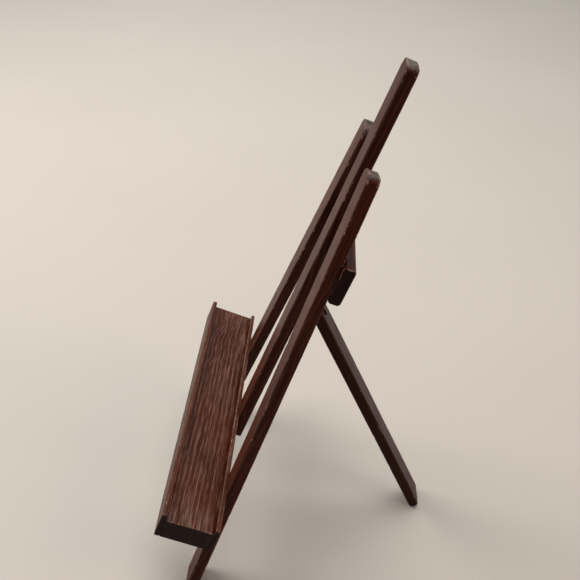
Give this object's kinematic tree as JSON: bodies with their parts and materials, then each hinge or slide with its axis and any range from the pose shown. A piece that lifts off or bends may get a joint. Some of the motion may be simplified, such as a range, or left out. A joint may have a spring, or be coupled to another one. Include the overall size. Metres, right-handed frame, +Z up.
{
  "type": "tabletop easel",
  "caption": "Small wooden tabletop easel: centre mast, splayed side legs, crossbar, lipped ledge and a hinged rear leg that folds flat.",
  "frame": {"origin": "on the floor, under the centre of the standing easel's bounding box", "axes": "+Z up; -Y is the side the artwork faces, and the rear leg stands towards +Y; +X runs along the ledge, to the right seen from the front"},
  "size_m": [0.235, 0.1881, 0.3561],
  "materials": {
    "wood_mast": "dark red-brown stain, worn satin lacquer",
    "wood_side_legs": "dark red-brown stain, worn satin lacquer",
    "wood_crossbar": "dark red-brown stain, worn satin lacquer",
    "wood_ledge": "dark red-brown stain, worn satin lacquer",
    "wood_edging": "dark red-brown stain, worn satin lacquer",
    "wood_rear": "dark red-brown stain, worn satin lacquer",
    "bronzed_brass": "dark bronzed, worn at the knuckles",
    "blackened_steel": "blackened"
  },
  "bodies": {
    "front_frame": {"centre_mast": "wood_mast", "side_leg_left": "wood_side_legs", "side_leg_right": "wood_side_legs", "crossbar": "wood_crossbar", "ledge_board": "wood_ledge", "ledge_front_lip": "wood_edging", "ledge_rear_strip": "wood_edging", "hinge_block": "wood_rear", "hinge_leaf_fixed": "bronzed_brass", "hinge_pin": "blackened_steel", "hinge_screw_fixed_lower": "blackened_steel", "hinge_screw_fixed_upper": "blackened_steel", "block_screw_lower": "blackened_steel", "block_screw_upper": "blackened_steel", "crossbar_screw_left": "blackened_steel", "crossbar_screw_centre": "blackened_steel", "crossbar_screw_right": "blackened_steel", "ledge_screw_left": "blackened_steel", "ledge_screw_centre": "blackened_steel", "ledge_screw_right": "blackened_steel"},
    "rear_leg_assembly": {"rear_leg": "wood_rear", "hinge_leaf_moving": "bronzed_brass", "hinge_screw_moving_upper": "blackened_steel", "hinge_screw_moving_lower": "blackened_steel"}
  },
  "joints": [
    {"name": "rear_leg_hinge", "type": "hinge", "parent": "front_frame", "child": "rear_leg_assembly", "pos_m": [0, 0.00376, 0.1913], "axis": [-1, 0, 0], "range_deg": [0, 45]}
  ]
}
